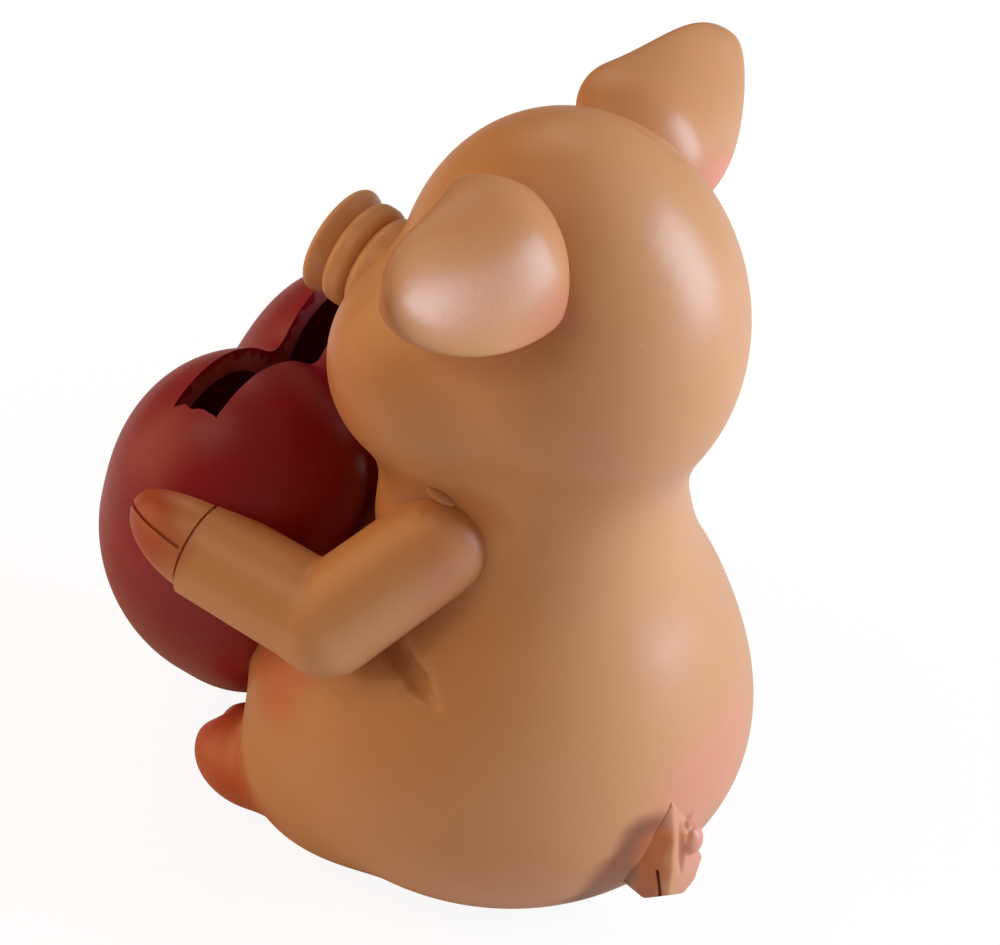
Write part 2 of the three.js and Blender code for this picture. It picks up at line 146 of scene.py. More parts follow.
# %% [markdown]
# ## From clay to a mesh
# The balls go into one mesh as plain icospheres. A voxel Remesh wraps them in one even skin of quads, and then each
# vertex slides along the form's slope until it lies on the form itself. That keeps the forms exact and the faces even,
# and it works for any shape, also where a ray from the middle would cross the skin twice.

# %% Remesh and settle
def new_piece(name, bm):
    mesh = bpy.data.meshes.new(name)
    bm.to_mesh(mesh)
    bm.free()
    piece = bpy.data.objects.new(name, mesh)
    bpy.context.scene.collection.objects.link(piece)
    return piece


def apply_modifiers(piece):
    """Makes what the modifiers show the piece's own mesh."""
    graph = bpy.context.evaluated_depsgraph_get()
    shown = bpy.data.meshes.new_from_object(piece.evaluated_get(graph))
    old = piece.data
    piece.modifiers.clear()
    piece.data = shown
    bpy.data.meshes.remove(old)


def settle(mesh, field, rounds=8, farthest=1.5, step=0.02):
    """Slides the vertices down the slope of a field until they lie where it is zero."""
    points = np.empty(len(mesh.vertices) * 3)
    mesh.vertices.foreach_get("co", points)
    points = points.reshape(-1, 3)
    for _ in range(rounds):
        ways = np.eye(3) * step
        slope = np.stack([(field(points + way) - field(points - way)) / (2 * step) for way in ways], axis=1)
        steep = np.maximum((slope**2).sum(axis=1), 0.2)
        move = -slope * (field(points) / steep)[:, None]
        length = np.maximum(np.linalg.norm(move, axis=1), 1e-9)
        points += move * np.minimum(1, farthest / length)[:, None]
    mesh.vertices.foreach_set("co", points.ravel())
    mesh.update()
    return float(np.abs(field(points)).max())


def wrap(piece, grain, rubs=2):
    """Wraps what overlaps in a piece in one even skin, and rubs it smooth."""
    skin_over = piece.modifiers.new("one skin", "REMESH")
    skin_over.mode = "VOXEL"
    skin_over.voxel_size = grain
    apply_modifiers(piece)
    bm = bmesh.new()
    bm.from_mesh(piece.data)
    for _ in range(rubs):
        bmesh.ops.smooth_vert(bm, verts=bm.verts, factor=0.5, use_axis_x=True, use_axis_y=True, use_axis_z=True)
    bm.to_mesh(piece.data)
    bm.free()


def sculpt(name, clay, grain):
    """A closed skin of faces about this size on a clay form."""
    bm = bmesh.new()
    for place in clay.lumps:
        bmesh.ops.create_icosphere(bm, subdivisions=4, radius=1, matrix=place)
    piece = new_piece(name, bm)
    wrap(piece, grain * (1))
    off = settle(piece.data, clay.field)
    print(f"{name}: {len(piece.data.polygons)} faces, at most {off:.3f} mm off its form")
    return piece


# %% [markdown]
# ## Knives
# Flat and round cuts, such as the base, the plug hole and the coin slot, need crisp edges, which a remesh would round.
# So they are made with Boolean modifiers and cutters of simple shapes, and the modifiers are applied at once.

# %% Cutters and carving
def cut_shape(name, shape, **settings):
    """A cutter from one of the bmesh shapes, such as create_cube or create_cone."""
    bm = bmesh.new()
    getattr(bmesh.ops, "create_" + shape)(bm, **settings)
    return new_piece(name, bm)


def carve(piece, *cutters, operation="DIFFERENCE", keep=()):
    for cutter in cutters:
        cut = piece.modifiers.new("cut", "BOOLEAN")
        cut.operation = operation
        cut.solver = "MANIFOLD"
        cut.object = cutter
    apply_modifiers(piece)
    for cutter in cutters:
        if cutter not in keep:
            bpy.data.objects.remove(cutter)
    print(f"{piece.name} carved: {len(piece.data.polygons)} faces")


def block(name, size, centre, turn=None):
    place = Matrix.LocRotScale(Vector(centre), turn, Vector(size))
    return cut_shape(name, "cube", size=1, matrix=place)


def disc(name, radius, low, high, segments=96):
    place = Matrix.Translation((0, 0, (low + high) / 2))
    return cut_shape(name, "cone", cap_ends=True, segments=segments, radius1=radius, radius2=radius,
                     depth=high - low, matrix=place)


# %% [markdown]
# ## Body and head
# One hollow skin, without a visible joint at the neck. A belly carries a chest that leans back and two haunches, and the
# head is a skull with two full cheeks. A throat fills the hollow between cheek, shoulder and heart, the snout has a
# rounded seat in the face, and a short crease in each flank runs out from under the arm. Balls pressed together give
# all of this with few numbers, where a sculpted mesh would need thousands.

# %% The clay of body and head
lean_back = 10
head_centre = Vector((0, 11.8, 100.8))
belly = ball((0, -0.8, 25), (38, 40.5, 31))
chest = ball((0, 9.5, 43), (26.5, 24.5, 27), (-lean_back, 0, 0))
neck = ball((0, 10.5, 71), (18, 18, 18))
haunches = [ball((side * 18.5, -16, 13.5), (14.5, 19, 16), (0, 0, side * 6.5)) for side in (1, -1)]
seated = blend(5, blend(12, belly, chest, neck), *haunches)
floor_softness = 3
floor_sink = 1
under = Clay(lambda points: points[:, 2] + floor_sink, [])
torso = dented(floor_softness, seated, under)
skull = ball(head_centre, (23.3, 26.5, 31))
cheeks = [ball(head_centre + Vector((side * 9.1, -15.7, -9.5)), (17.2,) * 3) for side in (1, -1)]
cheek_fold, throat_fold, neck_fold = 5.5, 6, 8
head = blend(cheek_fold, skull, *cheeks)
throat = [ball((side * 12, -3, 67), (10, 9.5, 11.5)) for side in (1, -1)]
figure = blend(neck_fold, head, blend(throat_fold, torso, *throat))
snout_front, snout_tilt = head_centre + Vector((0, -42.3, -3.1)), 14.5
snout_in = Matrix.Rotation(math.radians(-snout_tilt), 3, "X") @ Vector((0, 1, 0))
seat_softness, seat_depth, seat_radius = 6.5, 7, 8.4
seat = rod(snout_front, snout_front + snout_in * seat_depth, seat_radius, seat_radius)
figure = dented(seat_softness, figure, seat)
for side in (1, -1):
    crease = [(side * 26.4, -2, 51), (side * 28.6, 4.4, 48.4), (side * 29.9, 8.4, 46.4)]
    figure = dented(1.6, figure, rod(crease[0], crease[1], 1.9, 1.5))
    figure = dented(1.2, figure, rod(crease[1], crease[2], 1.5, 0.6))

# %% [markdown]
# ## Hollow casting
# Resin is poured and swilled round in a mould, so the casting is hollow with an even wall. The inside is the same clay
# pulled in by the wall, so the two skins stay parallel without a solidify step that could fold over in the creases.

# %% Hollow skin, flat base, plug hole and coin window
wall = 4
body_skin = sculpt("body_skin", figure, 0.8)
inside = sculpt("inside", grown(figure, -wall), 2)
hole_radius, rebate_radius, rebate_depth, floor_thickness = 14, 16.5, 3, 6
carve(inside, block("floor_inside", (200, 200, 50), (0, 0, floor_thickness - 25)))
heart_forward, heart_height, window_drop, lobe_depth = 46, 38.9, 9, 20.9
window_width, window_height = 28, 17


def window_cutter():
    """An oval bar through the heart's back and the belly, the way of the coins."""
    centre = Vector((0, lobe_depth - heart_forward, heart_height - window_drop))
    half = Vector((window_width / 2, window_height / 2, lobe_depth))
    place = Matrix.LocRotScale(centre, Euler((math.radians(90), 0, 0)), half)
    return cut_shape("window", "cone", cap_ends=True, segments=64, radius1=1, radius2=1, depth=2, matrix=place)


carve(body_skin, inside, block("table", (200, 200, 50), (0, 0, -25)), disc("plug_hole", hole_radius, -5, 20),
      disc("rebate", rebate_radius, -5, rebate_depth), window_cutter())

# %% [markdown]
# ## Cores
# Arms, ears, snout and heart are glued to the body. Each is cut by a core, which is the same clay pulled in by a hair,
# so that it meets the skin without a gap and doesn't poke into the hollow.

# %% Cores of the body and the heart
bite = 0.3
body_core = sculpt("body_core", grown(figure, -bite), 1.2)

lobe_half, lobe_out, lobe_tilt, heart_lean = (22.5, lobe_depth, 35.3), 7.7, 29, 10.5
crown_radius, crown_out, crown_back, crown_rise = 18.7, 14.8, 3.9, 22.5
leaning_back = Matrix.Rotation(math.radians(-heart_lean), 4, "X")
heart_place = Matrix.Translation((0, -heart_forward, heart_height)) @ leaning_back
into_heart = np.array(heart_place.inverted())


def in_heart(clay):
    """A clay made upright about the heart's centre, put where the heart is."""
    def field(points):
        return clay.field(points @ into_heart[:3, :3].T + into_heart[:3, 3])

    return Clay(field, [heart_place @ lump for lump in clay.lumps])


lobes = []
for side in (1, -1):
    egg = ball((side * lobe_out, 0, 0), lobe_half, (0, side * lobe_tilt, 0))
    crown = ball((side * crown_out, crown_back, crown_rise), (crown_radius,) * 3)
    lobes.append(blend(6, egg, crown))
heart = in_heart(blend(4, *lobes))
heart_core = sculpt("heart_core", grown(heart, -bite), 1.2)

# %% [markdown]
# ## Heart
# A hollow heart of two tilted egg shapes with full crowns, which run together at a point. The coin slot was broken out
# of the casting while it was soft, so its ends are ragged. The cutter is a subdivided block whose sides are pushed
# about by noise, most at its two ends. A displaced skin would roughen the rim too, but not the walls of the slot.

# %% The heart and its coin slot
heart_wall = 3.5
slot_length, slot_width, slot_forward = 48, 7.9, 39.5
heart_casting = sculpt("heart_casting", heart, 0.7)
heart_hollow = sculpt("heart_hollow", grown(heart, -heart_wall), 2)

bm = bmesh.new()
slot_deep = 40
slot_middle = Vector((0, -slot_forward, heart_height + slot_deep))
slot_size = Vector((slot_length, slot_width, slot_deep))
bmesh.ops.create_cube(bm, size=1, matrix=Matrix.LocRotScale(slot_middle, None, slot_size))
bmesh.ops.subdivide_edges(bm, edges=bm.edges, cuts=23, use_grid_fill=True)
side_rough, end_rough, end_reach, chip_size = 0.12, 0.5, 1.2, 2.6
noise.seed_set(21)  # without a seed, the vector noise starts from the clock and each run breaks differently
for vertex in bm.verts:
    ragged = side_rough + end_rough * max(0, abs(vertex.co.x) - slot_length / 2 + end_reach)
    rough = noise.turbulence_vector(vertex.co / chip_size, 2, False) * ragged
    vertex.co += Vector((rough.x, rough.y, 0))
slot_cutter = new_piece("slot", bm)
carve(heart_casting, heart_hollow, body_core, slot_cutter, window_cutter(), keep=[body_core])

# %% [markdown]
# ## Arms
# Each arm is an upper arm and a forearm that share the ball of the elbow, so it is round outside and creased inside.
# The forearm ends as a sleeve, and a trotter comes out of it: thinner below, level on top, with a fine groove where
# they meet and a cleft between its two toes. Groove and cleft are cut, because they are narrower than the remesh.

# %% The left arm
shoulder, elbow, wrist = Vector((18.5, 2.5, 67.5)), Vector((31, -10, 54.2)), Vector((33.2, -34.5, 60))
shoulder_radius, elbow_radius, forearm_radius, wrist_radius = 8, 8.3, 8, 7.6
trotter_radius, trotter_length, turn_in, sleeve_short = 7.2, 13.2, 6, 2.9
forward = (wrist - elbow).normalized()
onward = Matrix.Rotation(math.radians(-turn_in), 3, "Z") @ forward
cuff = wrist - forward * sleeve_short
trotter_lift = 0.4
trotter_middle = cuff + Vector((0, 0, trotter_lift))
upper_arm = rod(shoulder, elbow, shoulder_radius, elbow_radius)
forearm = rod(elbow, wrist + forward * 3, forearm_radius, wrist_radius)
arm_left = sculpt("arm_left_casting", blend(0.7, upper_arm, forearm), 0.45)
along_wrist = forward.to_track_quat("Z", "Y")
carve(arm_left, block("wrist_end", (40, 40, 40), cuff + forward * 20, along_wrist))
trotter_half = Vector((trotter_radius, trotter_radius, trotter_length))
along_trotter = onward.to_track_quat("Z", "Y")
trotter_turn = [math.degrees(a) for a in along_trotter.to_euler()]
trotter = sculpt("trotter", ball(trotter_middle, trotter_half, trotter_turn), 0.4)
carve(trotter, block("trotter_end", (40, 40, 40), cuff - forward * 22, along_wrist))

cleft_rise, cleft_width, cleft_depth, cleft_ahead = math.radians(33), 0.55, 0.6, 10.2
outwards = Matrix.Rotation(cleft_rise, 3, onward) @ Vector((0, 0, 1)).cross(onward).normalized()
cleft_axes = Matrix((onward, outwards, onward.cross(outwards))).transposed()
cleft_middle = trotter_middle + onward * cleft_ahead + outwards * 10
cleft = block("cleft", (20, 20, cleft_width), cleft_middle, cleft_axes.to_quaternion())
core_half = trotter_half - Vector((cleft_depth,) * 3)
carve(cleft, cut_shape("cleft_core", "icosphere", subdivisions=5, radius=1,
                       matrix=Matrix.LocRotScale(trotter_middle, along_trotter, core_half)))
carve(trotter, cleft)
carve(arm_left, trotter, operation="UNION")

groove_width, groove_depth = 0.42, 0.45
groove = disc("groove", 2 * wrist_radius, 0, groove_width)
carve(groove, disc("groove_core", trotter_radius - groove_depth, -1, 1))
groove.data.transform(Matrix.LocRotScale(trotter_middle, along_wrist, None))
carve(arm_left, groove)
carve(arm_left, body_core, heart_core, keep=[body_core, heart_core])

# %% [markdown]
# ## The other arm, and a drop of resin
# The figure's limbs came in pairs from mirrored moulds, so the right arm is the left one mirrored. At the left shoulder
# the seam was overfilled, and a small drop of resin stands out of it. It belongs to that arm alone, so it is joined on
# after the mirroring, and cut by the core like the arm itself.

# %% The right arm is the left arm mirrored
def mirrored(piece, name):
    """A copy of a piece on the other side of the figure, with its faces turned the right way out."""
    bm = bmesh.new()
    bm.from_mesh(piece.data)
    bmesh.ops.scale(bm, vec=(-1, 1, 1), verts=bm.verts)
    bmesh.ops.reverse_faces(bm, faces=bm.faces)
    return new_piece(name, bm)


arm_right = mirrored(arm_left, "arm_right_casting")

# %% The drop at the left shoulder
seam_start, seam_end = Vector((20.4, 1.5, 77.3)), Vector((19.3, 4.6, 75.4))
drop_half = Vector((1.0, 1.0, 2.5))
along_seam = (seam_end - seam_start).to_track_quat("Z", "Y")
drop_place = Matrix.LocRotScale((seam_start + seam_end) / 2, along_seam, drop_half)
drop = cut_shape("resin_drop", "icosphere", subdivisions=4, radius=1, matrix=drop_place)
carve(arm_left, drop, operation="UNION")
carve(arm_left, body_core, keep=[body_core])

# %% [markdown]
# ## Leaves wrapped along a curve
# An ear is a thick leaf, long and bent. Clay balls would make it lumpy, and a sphere is the handiest closed mesh for it:
# each of its rings becomes a section across a curve, and its two poles close the ends.

# %% Wrap a sphere along a curve
def limb(name, spine, across, section, around, along):
    """spine(share) is a point on the curve, across(share) a direction, and section(share, angle) is (across, above)."""
    bm = bmesh.new()
    bmesh.ops.create_uvsphere(bm, u_segments=around, v_segments=along, radius=1)
    tiny = 1e-3
    for vertex in bm.verts:
        share = (1 - max(-1, min(1, vertex.co.z))) / 2
        angle = math.atan2(vertex.co.y, vertex.co.x)
        ahead = (spine(min(1, share + tiny)) - spine(max(0, share - tiny))).normalized()
        sideways = (across(share) - ahead * across(share).dot(ahead)).normalized()
        out, up = section(share, angle)
        vertex.co = spine(share) + sideways * out + ahead.cross(sideways) * up
    bmesh.ops.recalc_face_normals(bm, faces=bm.faces)
    return new_piece(name, bm)


# %% [markdown]
# ## Ears
# Thick leaves that stand out sideways, with their faces turned up and back. The upper face swells to a soft dome near
# the root and to a low lip near the tip, as if thumbed out of clay. The right ear was glued on a little nearer to the
# middle and further forward than the left one.

# %% Ears
ear_half_width, ear_thickness, ear_skew = 12.5, 2.9, 2.4
ear_crown, ear_dome, dome_at, dome_spread = 0.3, 4.6, 0.3, 0.36
ear_lip, lip_at, lip_spread = 1.5, 1, 0.12
ear_turn, ear_twist, ear_bluntness, ear_full = 47, 21.4, 2.26, 0.35


def ear_across(share):
    """Which way the leaf's width lies: it twists a little on its way out."""
    turn = math.radians(ear_turn + ear_twist * (share - 0.5))
    return Vector((0, math.cos(turn), -math.sin(turn)))


def ear_section(share, angle):
    """The leaf's outline across: blunt at the tip, narrow at the root, domed above."""
    leaf = math.sqrt(max(0, (1 - share**ear_bluntness) * math.sin(math.pi / 2 * min(share / ear_full, 1))))
    skew = ear_skew * leaf * math.sin(math.pi * share)
    crown = ear_crown + ear_dome * math.exp(-(((share - dome_at) / dome_spread) ** 2))
    crown += ear_lip * math.exp(-(((share - lip_at) / lip_spread) ** 2))
    rise = ear_thickness * math.sqrt(leaf) * math.sin(angle) + crown * leaf * math.sin(angle) ** 2
    return skew + ear_half_width * leaf * math.cos(angle), rise


def make_ear(name, shift):
    root = head_centre + Vector((8.5, -0.2, 22.4)) + shift
    tip = head_centre + Vector((44, 0.2, 24.4)) + shift
    bow = (root + tip) / 2 + Vector((0, 2.1, -1.3))
    return limb(name, lambda share: root * (1 - share) ** 2 + bow * 2 * share * (1 - share) + tip * share**2,
                ear_across, ear_section, 96, 96)


ear_left = make_ear("ear_left_leaf", Vector())
ear_nearer = make_ear("ear_nearer", Vector((-1.7, -1.3, 0)))
for ear in (ear_left, ear_nearer):
    carve(ear, body_core, keep=[body_core])
ear_right = mirrored(ear_nearer, "ear_right_leaf")
bpy.data.objects.remove(ear_nearer)

# %% [markdown]
# ## Snout
# A barrel of soft rings that overlap like the folds of a bellows, with a flat disc in front. It is turned: a profile
# spun about its axis, because every ring is round. The nostrils are pressed into the disc.

# %% Snout
snout_radius, snout_length, disc_edge = 8.6, 26, 0.9
first_crease, ring_pitch, ring_narrowing, crease_depth = 3.3, 3.9, 0.25, 1.1


def snout_profile():
    """From the hidden end to the disc: rings that bulge between narrow creases, then the flared disc."""
    points = [(0, -snout_length)]
    for ring in (2, 1):
        front = first_crease + (ring - 1) * ring_pitch
        back = front + ring_pitch if ring == 1 else snout_length
        widest = snout_radius - ring * ring_narrowing
        for step in range(24):
            from_back = step / 24
            place = back + (front - back) * from_back
            near_crease = min(place - front, back - place if ring == 1 else snout_length) / ring_pitch
            bulge = math.sqrt(1 - max(0, 1 - 2.6 * near_crease) ** 2)
            points.append((widest - crease_depth * (1 - bulge), -place))
    waist = snout_radius - ring_narrowing - crease_depth
    for step in range(12):
        back_share = 1 - step / 12
        flare = (snout_radius - waist) * back_share**1.7
        points.append((snout_radius - flare, -disc_edge - (first_crease - disc_edge) * back_share))
    for step in range(7):
        turn = math.pi / 2 * step / 6
        points.append((snout_radius - disc_edge * (1 - math.cos(turn)), -disc_edge * (1 - math.sin(turn))))
    return points + [(0, 0)]


def turned(name, outline, steps=96):
    """A solid spun about the Z axis from (radius, height) points that start and end on the axis."""
    bm = bmesh.new()
    points = [bm.verts.new((radius, 0, height)) for radius, height in outline]
    edges = [bm.edges.new(pair) for pair in zip(points, points[1:])]
    bmesh.ops.spin(bm, geom=points + edges, cent=(0, 0, 0), axis=(0, 0, 1), angle=math.tau, steps=steps,
                   use_merge=True)
    bmesh.ops.remove_doubles(bm, verts=bm.verts, dist=1e-4)
    bmesh.ops.recalc_face_normals(bm, faces=bm.faces)
    return new_piece(name, bm)


snout = turned("snout_barrel", snout_profile())
nostril_out, nostril_half = 3.2, Vector((1.8, 2.3, 2.4))
for side in (1, -1):
    pit = Matrix.LocRotScale(Vector((side * nostril_out, 0, 0)), None, nostril_half)
    carve(snout, cut_shape("nostril", "icosphere", subdivisions=4, radius=1, matrix=pit))
snout.data.transform(Matrix.Translation(snout_front) @ Matrix.Rotation(math.radians(90 - snout_tilt), 4, "X"))
carve(snout, body_core, keep=[body_core])

# %% [markdown]
# ## Eyes, feet and tail
# The eyes are glossy beads let into the face, placed by walking out from the skull's middle until the clay ends. The
# feet are stubby trotters, with putty smoothed over the joint to the leg and a shallow valley between the toes: they are
# sculpted together with the torso's clay, and only the part near the foot is kept. The tail is a short strip folded on
# itself and pressed flat against the back. Its facets are the hull of a few corners, which a remesh rounds off.

# %% How far the skin is from a point inside
def reach(clay, start, direction):
    step, inside = 0.25, 0
    while clay.field(np.array([start + direction * (inside + step)]))[0] < 0:
        inside += step
    return inside + step / 2


# %% Eyes
eye_radius, eye_proud, eye_out, eye_up = 2.3, 0.8, math.radians(40), math.radians(24)
eye_way = Vector((math.sin(eye_out), -math.cos(eye_out), math.tan(eye_up))).normalized()
eye_centre = head_centre + eye_way * (reach(head, head_centre, eye_way) + eye_proud - eye_radius)
eye_left = cut_shape("eye_left_bead", "icosphere", subdivisions=5, radius=eye_radius,
                     matrix=Matrix.Translation(eye_centre))
carve(eye_left, body_core, keep=[body_core])
eye_right = mirrored(eye_left, "eye_right_bead")

# %% Feet
foot_half, foot_turn = (9.7, 12.3, 7.7), (0, 0, 3)
foot_centre = Vector((19.4, -33.5, 7))
trotter_ball = ball(foot_centre, foot_half, foot_turn)
fillet, overlap, putty_width = 3.5, 0.15, 3
valley_low, valley_high, valley_radius, valley_softness = Vector((-0.6, -13.5, -6)), Vector((-0.6, -9.5, 8.5)), 1, 3
toe_valley = rod(foot_centre + valley_low, foot_centre + valley_high, valley_radius, valley_radius)
foot_clay = dented(valley_softness, blend(fillet, trotter_ball, grown(torso, -overlap)), toe_valley)
foot_left = sculpt("foot_left_trotter", Clay(foot_clay.field, trotter_ball.lumps + torso.lumps), 0.5)
putty_reach = ball(foot_centre, [half + putty_width for half in foot_half], foot_turn)
carve(foot_left, sculpt("putty_reach", putty_reach, 0.8), operation="INTERSECT")
carve(foot_left, block("under_foot", (60, 60, 40), (20, -30, -20)), body_core, heart_core,
      keep=[body_core, heart_core])
foot_right = mirrored(foot_left, "foot_right_trotter")

# %% Tail
tail_corners = [
    (10.2, 38.4, 28.6), (11.1, 39.4, 21.8), (11.1, 39.4, 16.8), (11.1, 38.9, 10.2),
    (13, 37.3, 24.3), (14.3, 36.1, 21.1), (15.2, 34.4, 16.2), (14.5, 33, 12.1), (12.2, 35, 8.2),
    (7.6, 39.5, 8.3), (5.4, 40, 9.6), (3.3, 39.9, 12.7), (4.6, 39.8, 17), (6.3, 39, 22.5),
    (10, 32, 25), (12, 28, 12), (7, 30, 8), (4, 32, 14),
]
bm = bmesh.new()
for corner in tail_corners:
    bm.verts.new(corner)
hull = bmesh.ops.convex_hull(bm, input=bm.verts)
bmesh.ops.delete(bm, geom=list({*hull["geom_interior"], *hull["geom_unused"]}), context="VERTS")
tail = new_piece("tail_curl", bm)
bump_place = Matrix.LocRotScale(Vector((6, 38.8, 18.2)), None, Vector((2.3, 2.3, 2.8)))
carve(tail, cut_shape("tail_bump", "icosphere", subdivisions=4, radius=1, matrix=bump_place), operation="UNION")
tail_dents = [((9.1, 40.3, 20), (1, 1.6, 8)), ((7.4, 40.3, 21.8), (1.2, 1.6, 1.3)), ((4, 41, 14.4), (2.6, 1.5, 0.9))]
for centre, half in tail_dents:
    dent = Matrix.LocRotScale(Vector(centre), None, Vector(half))
    carve(tail, cut_shape("tail_dent", "icosphere", subdivisions=4, radius=1, matrix=dent))
wrap(tail, 0.25)

slit_top, slit_end = Vector((12.3, 37.2, 16)), Vector((11.6, 37.8, 9))
slit_size = (0.5, 2 * 1.3, (slit_top - slit_end).length)
slit_along, flank_out = (slit_top - slit_end).normalized(), Vector((0.67, 0.74, 0))
slit_axes = Matrix((slit_along.cross(flank_out), flank_out, slit_along)).transposed().to_quaternion()
carve(tail, block("slit", slit_size, (slit_top + slit_end) / 2, slit_axes), body_core, keep=[body_core])

# %% [markdown]
# ## Stopper
# A turned rubber plug: a flange that sits in the rebate, a slightly tapered body, and a grip cut across its face.

# %% Stopper
stopper_gap, flange = 0.3, 2
bottom = rebate_depth - flange - stopper_gap
rim, plug_radius = rebate_radius - stopper_gap, hole_radius - stopper_gap
stopper = turned("stopper_rubber", [
    (0, bottom), (rim - 0.5, bottom), (rim - 0.15, bottom + 0.15), (rim, bottom + 0.5), (rim, bottom + flange),
    (plug_radius, bottom + flange), (plug_radius - 0.6, bottom + 8), (0, bottom + 8)])
carve(stopper, block("grip", (18, 2.4, 2), (0, 0, bottom)))

for core in (body_core, heart_core):
    bpy.data.objects.remove(core)

# %% [markdown]
# ## Paint
# The skin is airbrushed satin paint on cast resin: a peach ground whose tone drifts, with soft strokes of pink, orange
# and brick red at the cheeks, ear roots, knees, feet and tail, and a few hairline scratches. Other strokes are painted
# shade and light: painted shade in the fold between cheek and shoulder, under the ears, on the tail's flank and in its
# curl, a painted shadow of the tail on the back, a warmer tone on the ears and the front that is partly the paint's own
# and partly painted shade, a paler snout that is partly painted light, and at the right ear's root a dark line of
# painted shade beside a pale painted highlight. The sprayer leaves a very fine orange peel. The heart is a deep red in
# the same satin. Inside the hollows and under the base the resin is bare, or red with overspray. Each paint is one
# Principled surface, and each stroke is a distance from a line on the object. An image would be the other way, but
# strokes stay sharp close by and need no unwrapping.

# %% Colour and node helpers
def linear(code):
    """An sRGB hex colour as linear values with alpha."""
    parts = [int(code[i:i + 2], 16) / 255 for i in (1, 3, 5)]
    return [c / 12.92 if c <= 0.04045 else ((c + 0.055) / 1.055) ** 2.4 for c in parts] + [1]


def add(tree, kind, inputs, **settings):
    """A node with its settings. An input is a value or another node's output."""
    made = tree.nodes.new(kind)
    for name, value in settings.items():
        setattr(made, name, value)
    for name, value in inputs.items():
        if isinstance(value, bpy.types.NodeSocket):
            tree.links.new(value, made.inputs[name])
        else:
            made.inputs[name].default_value = value
    return made


def new_material(name):
    material = bpy.data.materials.new(name)
    material.use_nodes = True
    material.node_tree.nodes.clear()
    return material, material.node_tree


# %% How far a point is from a line
def from_line(tree, place, start, end):
    """A socket with the distance from a position to the line between two points of the figure, in metres."""
    begin, finish = figure_place @ Vector(start), figure_place @ Vector(end)
    if begin == finish:
        return add(tree, "ShaderNodeVectorMath", {0: place, 1: begin}, operation="DISTANCE").outputs["Value"]
    span = finish - begin
    gone = add(tree, "ShaderNodeVectorMath", {0: place, 1: begin}, operation="SUBTRACT").outputs[0]
    share = add(tree, "ShaderNodeVectorMath", {0: gone, 1: span / span.length_squared}, operation="DOT_PRODUCT")
    held = add(tree, "ShaderNodeClamp", {"Value": share.outputs["Value"]})
    nearest = add(tree, "ShaderNodeVectorMath", {0: span, "Scale": held.outputs[0]}, operation="SCALE")
    apart = add(tree, "ShaderNodeVectorMath", {0: gone, 1: nearest.outputs[0]}, operation="DISTANCE")
    return apart.outputs["Value"]


# %% Sprayed paint
def sprayed(name, ground, deep, strokes, roughness, hairlines=()):
    """Satin paint. A stroke of the airbrush is (start, end, reach, tint, strength), a hairline lacks the reach."""
    # Noise scales are counted per metre: the ground drifts over 36 mm, the strokes' edges waver over 11 mm and the sheen
    # changes over 17 mm. The orange peel of 1.1 mm is about twice as coarse as a real one, so that it shows at all.
    material, tree = new_material(name)
    place = add(tree, "ShaderNodeTexCoord", {}).outputs["Object"]
    drift = add(tree, "ShaderNodeTexNoise", {"Vector": place, "Scale": 28, "Detail": 7, "Roughness": 0.6})
    colour = add(tree, "ShaderNodeMix", {"Factor": drift.outputs["Fac"], 6: linear(ground), 7: linear(deep)},
                 data_type="RGBA").outputs[2]
    wander = add(tree, "ShaderNodeTexNoise", {"Vector": place, "Scale": 90, "Detail": 2})
    centred = add(tree, "ShaderNodeVectorMath", {0: wander.outputs["Color"], 1: (0.5,) * 3}, operation="SUBTRACT")
    moved = add(tree, "ShaderNodeVectorMath", {0: centred.outputs[0], 1: (6 * MM,) * 3, 2: place},
                operation="MULTIPLY_ADD").outputs[0]
    for start, end, reach_out, tint, strength in strokes:
        spray = add(tree, "ShaderNodeMapRange", {
            "Value": from_line(tree, moved, start, end), "From Min": reach_out * MM, "From Max": 0.3 * reach_out * MM,
            "To Min": 0, "To Max": strength}, interpolation_type="SMOOTHSTEP")
        colour = add(tree, "ShaderNodeMix", {"Factor": spray.outputs[0], 6: colour, 7: linear(tint)},
                     data_type="RGBA").outputs[2]
    for start, end, tint, strength in hairlines:
        scratch = add(tree, "ShaderNodeMapRange", {
            "Value": from_line(tree, place, start, end), "From Min": 0.16 * MM, "From Max": 0.05 * MM,
            "To Min": 0, "To Max": strength})
        colour = add(tree, "ShaderNodeMix", {"Factor": scratch.outputs[0], 6: colour, 7: linear(tint)},
                     data_type="RGBA").outputs[2]
    peel = add(tree, "ShaderNodeTexNoise", {"Vector": place, "Scale": 900, "Detail": 2})
    bump = add(tree, "ShaderNodeBump", {"Height": peel.outputs["Fac"], "Strength": 0.12, "Distance": 0.2 * MM})
    sheen = add(tree, "ShaderNodeTexNoise", {"Vector": place, "Scale": 60, "Detail": 3})
    rough = add(tree, "ShaderNodeMapRange", {"Value": sheen.outputs["Fac"], "To Min": roughness - 0.05,
                                             "To Max": roughness + 0.05})
    surface = add(tree, "ShaderNodeBsdfPrincipled", {"Base Color": colour, "Roughness": rough.outputs[0],
                                                     "Normal": bump.outputs[0], "IOR": 1.45})
    add(tree, "ShaderNodeOutputMaterial", {"Surface": surface.outputs[0]})
    return material
